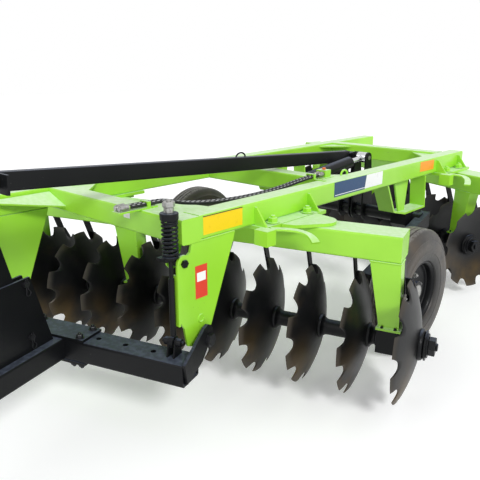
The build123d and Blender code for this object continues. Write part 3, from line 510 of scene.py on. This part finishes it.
def gangSpools(gang):
    # Between two discs the bell runs down from both faces into one waist
    bell = np.array(spoolBell)
    leftFace = discs["thickness"] if gang["opens"] < 0 else 0  # of the disc at the hub
    rightFace = leftFace - discs["thickness"]
    shells = []
    for index in range(discs["count"] - 1):
        start = rightFace - index * discs["pitch"]
        end = leftFace - (index + 1) * discs["pitch"]
        profile = np.concatenate((bell * (-1, 1) + (start, 0), bell[::-1] + (end, 0)))
        shells.append(turned(profile, gang["hub"], gang["left"], gang["back"], 40))
    for face, way in ((leftFace, 1), (rightFace - (discs["count"] - 1) * discs["pitch"], -1)):
        for profile, around in shaftEnds:
            shells.append(turned(profile, gangSpot(gang, face), gang["left"] * way, gang["back"], around))
    return shells


# Bearings hang in the leg's foot, with four bolts above and a ring on both faces
bearing = {
    "offset": 0.150, "boltAlong": 0.034, "boltBehind": 0.0575, "boltAbove": 0.077, "radius": 0.0078,
    "height": 0.009, "face": 0.060,
    "ring": ((0, 0.054), (0.004, 0.054), (0.010, 0.047), (0.010, 0.0385), (0, 0.0385)),
}


def bearingPlaces(gang):
    return [gang["opens"] * bearing["offset"] - index * discs["pitch"] for index in gang["bearings"]]


def bearingBolts(gang):
    shells = []
    for middle in bearingPlaces(gang):
        for along in (-bearing["boltAlong"], bearing["boltAlong"]):
            for behind in (-bearing["boltBehind"], bearing["boltBehind"]):
                seat = gangSpot(gang, middle + along, behind, bearing["boltAbove"])
                shells += hexBolt(seat, upward, bearing["radius"], bearing["height"], 1.0)
        for way in (-1, 1):
            face = gangSpot(gang, middle + way * bearing["face"])
            shells.append(turned(bearing["ring"], face, gang["left"] * way, gang["back"], 40, True))
    return shells


# Welds round the top and the foot of each leg, by height, lean along the shaft and half length
legWelds = {"levels": ((0.429, 0.040, 0.078), (0.078, 0.0, 0.052)), "behind": 0.050}


def legWeldBeads(gang):
    shells = []
    for middle in bearingPlaces(gang):
        for height, lean, half in legWelds["levels"]:
            corners = [
                gangSpot(gang, middle + gang["opens"] * lean + x * half, y * legWelds["behind"], height)
                for x, y in ((-1, -1), (1, -1), (1, 1), (-1, 1))
            ]
            shells += [weldBead(corners[k], corners[(k + 1) % 4]) for k in range(4)]
    return shells


# Welded cover plates, set just inside the gang beam's two open ends
beamCover = {
    "half": 0.092, "high": 0.124, "cut": 0.012, "setIn": 0.006, "behind": 0.050, "above": 0.438,
    "thickness": 0.005,
}


def beamCovers(gang):
    # A rectangle with its corners cut: one side from foot to top, then the same mirrored
    half, high, cut = beamCover["half"], beamCover["high"], beamCover["cut"]
    side = np.array(((half - cut, 0.0), (half, cut), (half, high - cut), (half - cut, high)))
    behind, above = np.concatenate((side, side[::-1] * (-1, 1))).T
    shells = []
    for end, way in zip(gang["ends"], (1, -1)):
        along = end - way * beamCover["setIn"]
        outline = gangSpot(gang, along, beamCover["behind"] + behind, beamCover["above"] + above)
        shells.append(flatPlate(outline, gang["left"] * way, beamCover["thickness"]))
    return shells


# Scraper blades: each bar runs back and down from its top, and its blade spans a part of that run
scraper = {
    "top": (0.115, 0.430), "run": (0.100, 0.2475), "from": 0.58, "to": 1.03, "clearance": 0.010,
    "heel": 0.1185, "thickness": 0.006, "points": 12,
}


def scraperBlade(gang, index):
    # A straight heel at the bar and a curved edge that keeps its clearance off the dish
    share = np.linspace(scraper["from"], scraper["to"], scraper["points"])
    behind = scraper["top"][0] + scraper["run"][0] * share
    above = scraper["top"][1] - scraper["run"][1] * share
    nearEdge = dishDepth(np.hypot(behind, above)) + scraper["clearance"]
    across = np.concatenate((nearEdge, np.full(scraper["points"], scraper["heel"])))
    outline = gangSpot(
        gang, across * gang["opens"] - index * discs["pitch"], np.concatenate((behind, behind[::-1])),
        np.concatenate((above, above[::-1])),
    )
    barWay = gang["back"] * scraper["run"][0] - upward * scraper["run"][1]
    return flatPlate(outline, np.cross(gang["left"], barWay / np.linalg.norm(barWay)), scraper["thickness"])


for gangName, gang in gangs.items():
    body = gangName + "_gang"
    gang["hub"], gang["left"], gang["back"] = hinge(body)
    shells = [notchedDisc(gang, index) for index in range(discs["count"])]
    addPiece(gangName + "NotchedDiscs", shells, body, discFinish, (body + "_discs",), 24)
    addPiece(gangName + "Spools", gangSpools(gang), body, satinBlack, (body + "_spools",))
    addPiece(gangName + "BearingBolts", bearingBolts(gang), "frame", darkBolt)
    addPiece(gangName + "BeamCovers", beamCovers(gang), "frame", limePaint)
    shells = [scraperBlade(gang, index) for index in range(discs["count"])]
    addPiece(gangName + "ScraperBlades", shells, "frame", satinBlack)
    addPiece(gangName + "LegWelds", legWeldBeads(gang), "frame", limePaint)
print("gangs made")

# Transport wheels
tyreHalf = (  # (radius, half width) from the bead over a bulging sidewall with thin ribs to the crown
    (0.2085, 0.0800), (0.2130, 0.0880), (0.2240, 0.0930), (0.2420, 0.0965), (0.2610, 0.0980),
    (0.2640, 0.1000), (0.2690, 0.1003), (0.2720, 0.0992), (0.305, 0.1020), (0.330, 0.1000), (0.344, 0.0960),
    (0.347, 0.0972), (0.352, 0.0955), (0.355, 0.0920), (0.374, 0.0835), (0.391, 0.0725), (0.402, 0.0630),
    (0.4065, 0.0565), (0.4085, 0.050), (0.4090, 0.040), (0.4090, 0.0385),
    (0.3990, 0.0365), (0.3990, 0.0305), (0.4095, 0.0285),  # a groove on each side
    (0.4098, 0.0050), (0.3995, 0.0032),  # and one along the middle
)
rimLoop = (  # (outward, radius) over the outer face of the disc and the rim, then back along the inside
    (0.003, 0.071), (0.015, 0.071), (0.018, 0.085), (0.020, 0.125), (0.031, 0.150), (0.031, 0.178),
    (0.037, 0.184), (0.066, 0.186), (0.073, 0.190), (0.079, 0.198), (0.079, 0.2070), (0.075, 0.2070),
    (0.068, 0.199), (0.050, 0.192), (-0.060, 0.192), (-0.071, 0.198), (-0.079, 0.2070), (-0.079, 0.198),
    (-0.073, 0.190), (-0.060, 0.184), (0.014, 0.184), (0.017, 0.178), (0.017, 0.152), (0.006, 0.127),
)
wheelNuts = {
    "count": 6, "first": 0.3, "circle": 0.102, "face": 0.0195, "radius": 0.0135, "height": 0.016,
    "washer": 1.25, "cap": ((0.0600, 0.050), (0.0655, 0.047), (0.0700, 0.036), (0.0720, 0.020)),
}


def tyreShell(hub, outward):
    # The half profile and its mirror image, turned about the axle
    half = np.array(tyreHalf)
    radius, across = np.concatenate((half, half[::-1] * (1, -1))).T
    profile = np.stack((across, radius), axis=1)
    return turned(profile, hub, outward, upward, 96, True, radius / wheels["radius"])


def wheelNutShells(hub, outward):
    shells = []
    for index in range(wheelNuts["count"]):
        angle = index * tau / wheelNuts["count"] + wheelNuts["first"]
        circle = (upward * cos(angle) + backward * sin(angle)) * wheelNuts["circle"]
        seat = hub + circle + outward * wheelNuts["face"]
        shells += hexBolt(seat, outward, wheelNuts["radius"], wheelNuts["height"], wheelNuts["washer"])
    return shells + [turned(wheelNuts["cap"], hub, outward, upward, 36)]


for side, way in (("left", 1), ("right", -1)):
    body = side + "_wheel"
    hub = hinge(body)[0]
    outward = leftward * way
    tyre = tyreShell(hub, outward)
    addPiece(side + "Tyre", [tyre], body, rubberFinish, (side + "_tyre",), 28)
    rimShell = turned(rimLoop, hub, outward, upward, 72, True)
    addPiece(side + "Rim", [rimShell], body, satinBlack, (side + "_rim",), 30)
    addPiece(side + "WheelNuts", wheelNutShells(hub, outward), body, zincFinish)
print("wheels made")

# Levelling spring, whose end turns climb slower than the rest
spring = {
    "x": 0.604, "y": -0.044, "floor": 0.9583, "top": 1.1260, "radius": 0.0335, "wire": 0.0056, "turns": 9.3,
    "endShare": 0.09, "endRise": 0.030, "points": 300,
}


def springCoil():
    # A helix: circle by the turned angle, height by the rise, with a round wire along it
    share = np.linspace(0, 1, spring["points"])
    angle = share * spring["turns"] * tau
    endShare, endRise = spring["endShare"], spring["endRise"]
    rise = np.interp(share, (0, endShare, 1 - endShare, 1), (0, endRise, 1 - endRise, 1))
    low, high = spring["floor"] + spring["wire"], spring["top"] - spring["wire"]
    circle = spring["radius"] * np.cos(angle), spring["radius"] * np.sin(angle)
    coil = spot(spring["x"], spring["y"], 0) + np.stack((*circle, low + (high - low) * rise), axis=1)
    return tubeAlong(coil, spring["wire"], 10, upward)


springPiece = addPiece(
    "levellingCoil", [springCoil()], None, satinBlack, ("levelling_spring",), 60,
)
spot(spring["x"], spring["y"], spring["floor"]).tolist()
spot(spring["x"], spring["y"], spring["top"]).tolist()
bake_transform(springPiece)

# Hoses, clipped from the port block on the mid beam to the couplers parked on the front beam
hose = {"radius": 0.0095, "spacing": 0.028, "length": 1.416}
hoseRoute = (
    (0.475, 1.3348, 1.141), (0.475, 1.160, 1.134), (0.468, 0.900, 1.104), (0.434, 0.680, 1.089),
    (0.382, 0.470, 1.088), (0.345, 0.290, 1.106), (0.335, 0.170, 1.1405), (0.330, 0.060, 1.1415),
    (0.330, -0.0598, 1.143),
)
couplerProfile = (
    (0.0004, 0.0115), (0.006, 0.0168), (0.022, 0.0168), (0.024, 0.0158), (0.028, 0.0158), (0.030, 0.0168),
    (0.045, 0.0168), (0.051, 0.0158), (0.0515, 0.0120), (0.058, 0.0110),
)


def hosePiece(name, route):
    curve = bpy.data.curves.new(name, "CURVE")
    curve.dimensions = "3D"
    curve.bevel_depth = hose["radius"]
    curve.bevel_resolution = 5
    curve.resolution_u = 10
    curve.use_fill_caps = True
    line = curve.splines.new("NURBS")
    line.points.add(len(route) - 1)
    for point, place in zip(line.points, route):
        point.co = (*place, 1.0)
    line.order_u = 3
    line.use_endpoint_u = True
    curve.materials.append(hoseFinish)
    piece = bpy.data.objects.new(name, curve)
    bpy.context.scene.collection.objects.link(piece)
    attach(piece, "frame")
    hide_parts("hoses")
    return piece


for hoseName, shift in (("leftHose", 0.0), ("rightHose", -hose["spacing"])):
    route = [spot(x + shift, y, z) for x, y, z in hoseRoute]
    piece = hosePiece(hoseName, route)
    couplerShell = turned(couplerProfile, route[-1], -backward, upward, 32)
    coupler = addPiece(hoseName + "Coupler", [couplerShell], "frame", zincFinish)
print("spring and hoses made")

# Nuts on the saddles' clamps. Each clamp has its side, its front end and its back end.
clampNuts = {
    "clamps": ((1, 0.490, 1.035), (-1, 0.140, 0.685), (1, 2.660, 3.140), (-1, 3.200, 3.670)),
    "x": 0.674, "z": 1.003, "fromFront": 0.112, "fromBack": 0.130, "radius": 0.0265, "height": 0.027,
}
shells = []
for way, clampFront, clampBack in clampNuts["clamps"]:
    for y in (clampFront + clampNuts["fromFront"], clampBack - clampNuts["fromBack"]):
        seat = spot(way * clampNuts["x"], y, clampNuts["z"])
        shells += hexBolt(seat, upward, clampNuts["radius"], clampNuts["height"])
addPiece("clampNuts", shells, "frame", limePaint)

# The drawbar's own axes, from its hinge
draftHinge, draftLeft, draftBack = hinge("drawbar")


def draftSpot(x, y, z):
    return draftHinge + draftLeft * x + draftBack * y + upward * z


# Bolts of the tongue's clamp plates: all show underneath, and the outer ones on top
tongueBolts = {
    "x": -0.747, "outer": 0.165, "inner": 0.115, "rows": (-0.212, -0.108), "top": -0.023, "foot": -0.166,
    "radius": 0.017, "topHeight": 0.020, "footHeight": 0.018,
}
shells = []
for along in (-tongueBolts["outer"], -tongueBolts["inner"], tongueBolts["inner"], tongueBolts["outer"]):
    for row in tongueBolts["rows"]:
        x = tongueBolts["x"] + along
        if abs(along) == tongueBolts["outer"]:
            top = draftSpot(x, row, tongueBolts["top"])
            shells += hexBolt(top, upward, tongueBolts["radius"], tongueBolts["topHeight"])
        foot = draftSpot(x, row, tongueBolts["foot"])
        shells += hexBolt(foot, -upward, tongueBolts["radius"], tongueBolts["footHeight"])
addPiece("tongueBolts", shells, "drawbar", darkBolt)

# Fittings on the levelling rod. Columns: name, finish, slot, and profiles as (height, radius), each with the
# number of points around it.
rodFittings = (
    ("springCup", satinBlack, "black_paint", (
        (((1.1265, 0.0400), (1.1300, 0.0425), (1.1560, 0.0430), (1.1595, 0.0415), (1.1600, 0.0360)), 48),
    )),
    ("rodSleeve", satinBlack, "black_paint", (
        (((0.5620, 0.0115), (0.5650, 0.0145), (0.8480, 0.0145), (0.8510, 0.0115)), 32),
    )),
    ("levellingNut", zincFinish, "plated_steel", (
        (((1.1600, 0.0225), (1.1615, 0.0240), (1.1860, 0.0240)), 6),
        (((1.1860, 0.0270), (1.1890, 0.0295), (1.2080, 0.0295), (1.2110, 0.0265)), 6),
        (((1.2110, 0.0110), (1.2190, 0.0110), (1.2200, 0.0100)), 16),
    )),
)
rodFoot = spot(spring["x"], spring["y"], 0)
for name, finish, slot, profiles in rodFittings:
    shells = [turned(profile, rodFoot, upward, leftward, around) for profile, around in profiles]
    addPiece(name, shells, "level_rod", finish)

# Collars and pin ends at the lug under the levelling rod, on both sides
lug = {
    "place": (0.604, -0.044, 0.530),
    "collar": ((0.0224, 0.0185), (0.0235, 0.0200), (0.0440, 0.0200), (0.0452, 0.0185)),
    "pinEnd": ((0.0452, 0.0100), (0.0560, 0.0100), (0.0580, 0.0085)),
}
shells = []
for way in (-1, 1):
    for profile, around in ((lug["collar"], 32), (lug["pinEnd"], 24)):
        shells.append(turned(profile, spot(*lug["place"]), draftLeft * way, upward, around))
addPiece("lugCollars", shells, "drawbar", satinBlack)

# Spring clips through the mast's pins. Heights are counted from the pin.
clip = {
    "pins": ((-0.400, 0.036), (-0.400, 0.308), (-0.745, 0.165)), "x": -0.7075, "wire": 0.0021,
    "legTop": 0.024, "legFoot": -0.034, "ring": 0.0135, "ringAcross": 0.010, "ringHeight": -0.047,
    "ringFrom": 138, "ringTurn": 264, "bowFoot": -0.038, "bowAcross": 0.009, "bulge": 0.011,
    "bulgeSpread": 0.011, "neck": -0.040, "neckSpread": 0.010,
}


def clipShell(pinBack, pinUp):
    # A straight leg, a ring, and a leg that stands off by two bell curves, over the pin and at the ring
    ringAngle = radians(clip["ringFrom"]) + np.linspace(0, radians(clip["ringTurn"]), 26)
    bow = np.linspace(clip["bowFoot"], clip["legTop"], 40)[1:]
    overPin = np.exp(-(bow / clip["bulgeSpread"]) ** 2)
    atRing = np.exp(-((bow - clip["neck"]) / clip["neckSpread"]) ** 2)
    sideways = np.concatenate((
        np.zeros(10), clip["ringAcross"] + clip["ring"] * np.cos(ringAngle),
        clip["bowAcross"] + clip["bulge"] * (overPin + atRing),
    ))
    height = np.concatenate((
        np.linspace(clip["legTop"], clip["legFoot"], 10),
        clip["ringHeight"] + clip["ring"] * np.sin(ringAngle), bow,
    ))
    path = draftSpot(clip["x"], pinBack, pinUp) + sideways[:, None] * draftBack + height[:, None] * upward
    return tubeAlong(path, clip["wire"], 8, draftLeft)


addPiece("mastClips", [clipShell(*pin) for pin in clip["pins"]], "drawbar", darkBolt)

# A rounded plate and two bent straps outside the left clamps
clampPlate = {
    "front": ((0.7165, 0.620), (0.790, 0.650)), "centre": (0.815, 0.830), "radius": 0.087, "from": -38,
    "to": 78, "back": (0.7165, 0.935), "z": 0.9812, "thickness": 0.0176,
}
straps = {
    "width": 0.046, "thickness": 0.011, "routes": (
        ((0.728, 0.520, 0.993), (0.780, 0.590, 0.986), (0.838, 0.650, 0.981), (0.885, 0.655, 0.968),
         (0.930, 0.630, 0.935)),
        ((0.728, 2.705, 0.993), (0.775, 2.755, 0.986), (0.826, 2.790, 0.981), (0.872, 2.740, 0.968),
         (0.905, 2.620, 0.942)),
    ),
}


def clampPlateShell():
    # Straight front edge, an arc round the centre, and straight back to the beam
    arc = np.radians(np.linspace(clampPlate["from"], clampPlate["to"], 18))
    rounded = clampPlate["centre"] + clampPlate["radius"] * np.stack((np.cos(arc), np.sin(arc)), axis=1)
    outline = [spot(x, y, clampPlate["z"]) for x, y in (*clampPlate["front"], *rounded, clampPlate["back"])]
    return flatPlate(outline, upward, clampPlate["thickness"])


shells = [clampPlateShell()]
for route in straps["routes"]:
    path = bowed([spot(*place) for place in route])
    shells.append(barAlong(path, straps["width"], straps["thickness"]))
addPiece("clampStraps", shells, "frame", limePaint)

# Two weld beads at the front left corner, the rim of the hole in the left leg, and the ring on the left beam
frameTrim = {
    "welds": (
        ((0.6312, 0.030, 1.000), (0.6312, 0.352, 1.000)),
        ((0.505, -0.0012, 1.006), (0.505, -0.0012, 1.116)),
    ),
    "hole": (0.630, 0.1129, 0.6077),
    "holeRim": ((0.0, 0.0150), (0.0030, 0.0158), (0.0045, 0.0185), (0.0030, 0.0212), (0.0, 0.0220)),
}


def halfRing(centre, length, height, wire, points):
    # Half an ellipse that stands upright along the machine, with half its length and its height given
    arc = np.linspace(0, pi, points)
    path = spot(*centre) + np.stack((0 * arc, length * np.cos(arc), height * np.sin(arc)), axis=1)
    return tubeAlong(path, wire)


shells = [weldBead(spot(*start), spot(*end)) for start, end in frameTrim["welds"]]
shells.append(turned(frameTrim["holeRim"], spot(*frameTrim["hole"]), leftward, upward, 28, True))
shells.append(halfRing((0.5250, 1.5060, 1.121), length=0.036, height=0.030, wire=0.0065, points=22))
addPiece("frameWelds", shells, "frame", limePaint)

# Ferrules at the port block, and its dust cap
ferruleProfile = (
    (0.0004, 0.0140), (0.0015, 0.0155), (0.0130, 0.0155), (0.0140, 0.0130), (0.0200, 0.0125),
    (0.0460, 0.0125), (0.0480, 0.0108),
)
dustCap = {
    "place": (0.470, 1.355, 1.167), "colour": "#d9682a", "dust": "#c4602c",
    "profile": ((0.0003, 0.0115), (0.0040, 0.0120), (0.0100, 0.0110), (0.0120, 0.0090)),
}
port = spot(*hoseRoute[0])
shells = [
    turned(ferruleProfile, port - shift * leftward, -backward, upward, 24) for shift in (0.0, hose["spacing"])
]
addPiece("hoseFerrules", shells, "frame", zincFinish)
capFinish = stickerFilm("dustCapRubber", dustCap["colour"], dustCap["dust"])
capShell = turned(dustCap["profile"], spot(*dustCap["place"]), upward, leftward, 28)
addPiece("portDustCap", [capShell], "frame", capFinish)

# Handle on the top beam
handleShell = halfRing((0.075, 1.006, 1.243), length=0.042, height=0.028, wire=0.005, points=24)
addPiece("topBeamHandle", [handleShell], "top_link", satinBlack)
print("fasteners made")


def oblong(first, second, top, foot):
    return ((first, top), (second, top), (second, foot), (first, foot))


# Blank plates. Columns: name, colour, dusty colour, the frame's face that it lies on with that face's place,
# thickness, and corners as (y, z) on the left face or (x, z) on the front face.
plates = (
    ("yellowPlate", "#efcc02", "#e2bd10", "left", 0.630, 0.0008, oblong(0.139, 0.412, 1.113, 1.021)),
    ("bluePanel", "#123f69", "#1b4b78", "left", 0.630, 0.0008,
     ((1.239, 1.118), (1.612, 1.118), (1.594, 1.027), (1.239, 1.027))),
    ("whitePanel", "#eef0ee", "#d9dcd8", "left", 0.630, 0.0008,
     ((1.614, 1.118), (1.822, 1.118), (1.822, 1.030), (1.596, 1.030))),
    ("yellowPlateLine", "#4a3a20", "#5a4a30", "left", 0.630, 0.0012, oblong(0.139, 0.412, 1.1130, 1.1085)),
    ("bluePanelLine", "#e8ecee", "#cfd4d8", "left", 0.630, 0.0012,
     ((1.250, 1.0395), (1.596, 1.0395), (1.595, 1.0350), (1.250, 1.0350))),
    ("orangePlate", "#f59a23", "#e39434", "left", 0.630, 0.0008,
     ((2.388, 1.112), (2.622, 1.108), (2.622, 1.034), (2.390, 1.038))),
    ("redPlate", "#d8412c", "#c9523e", "left", 0.630, 0.0008, oblong(0.081, 0.160, 0.880, 0.714)),
    ("whiteField", "#f0efec", "#dddcd8", "left", 0.6308, 0.0005, oblong(0.092, 0.149, 0.845, 0.800)),
    ("smallPlate", "#e8e8e4", "#d2d2cc", "front", 0.0, 0.0008, oblong(0.205, 0.255, 1.094, 1.064)),
)
for name, colour, dust, face, level, thickness, corners in plates:
    if face == "left":
        shell = flatPlate([spot(level, y, z) for y, z in corners], leftward, thickness)
    else:
        shell = flatPlate([spot(x, level, z) for x, z in corners], -backward, thickness)
    addPiece(name, [shell], "frame", stickerFilm(name, colour, dust))
print("plates made")

# Camera
view = {"place": (2.496, -1.644, 1.760), "turned": (73.53, 0, 42.47), "lens": 42.72, "sensor": 36.0}
cameraData = bpy.data.cameras.new("view")
cameraData.lens = view["lens"]
cameraData.sensor_width = view["sensor"]
camera = bpy.data.objects.new("view", cameraData)
camera.location = spot(*view["place"])
camera.rotation_euler = [radians(degrees) for degrees in view["turned"]]
bpy.context.scene.collection.objects.link(camera)
bpy.context.scene.camera = camera

# Floor, with a glow that only the camera, reflections and glass see
floor = {"half": 40.0, "colour": "#fafafa", "shade": "#f6f6f5", "glow": 0.20}
floorMesh = bpy.data.meshes.new("floor")
floorMesh.from_pydata(
    [(x * floor["half"], y * floor["half"], origin[2]) for x, y in ((-1, -1), (1, -1), (1, 1), (-1, 1))],
    [], [(0, 1, 2, 3)],
)
floorPiece = bpy.data.objects.new("floor", floorMesh)
bpy.context.scene.collection.objects.link(floorPiece)
floorFinish = Finish("paleFloor")
floorColour = floorFinish.mix(floorFinish.noise(0.6, 2.0), tint(floor["colour"]), tint(floor["shade"]))
glow = (floor["glow"], floor["glow"], floor["glow"], 1)
floorGlow = floorFinish.mix(floorFinish.backdropRays(), (0, 0, 0, 1), glow)
floorMesh.materials.append(floorFinish.done({
    "Base Color": floorColour, "Roughness": 0.9, "Specular IOR Level": 0.1, "Emission Color": floorGlow,
    "Emission Strength": 1.0,
}))

# Soft light all round, and a plain white backdrop for the rays that look at it
studioLight = {"colour": (0.96, 0.98, 1.0, 1), "strength": 0.62}
world = bpy.data.worlds.new("studio")
bpy.context.scene.world = world
studio = Finish("studio", world)
softValues = {"Color": studioLight["colour"], "Strength": studioLight["strength"]}
soft = studio.node("ShaderNodeBackground", None, softValues)
plain = studio.node("ShaderNodeBackground", None, {"Color": (1, 1, 1, 1), "Strength": 1.0})
backdrop = studio.node("ShaderNodeMixShader", None, {0: studio.backdropRays(), 1: soft, 2: plain})
studio.node("ShaderNodeOutputWorld", None, {"Surface": backdrop})

lamps = {  # energy, how wide the lamp looks and how it is turned, in degrees
    "key": (1.95, 14.0, (54, 0, 69)),
    "fill": (0.5, 40.0, (60, 0, -14)),
}
for lampName, (energy, wide, turnedBy) in lamps.items():
    lampData = bpy.data.lights.new(lampName, "SUN")
    lampData.energy = energy
    lampData.angle = radians(wide)
    lamp = bpy.data.objects.new(lampName, lampData)
    lamp.rotation_euler = [radians(degrees) for degrees in turnedBy]
    bpy.context.scene.collection.objects.link(lamp)

bpy.context.scene.view_settings.view_transform = "Standard"
print("scene ready")
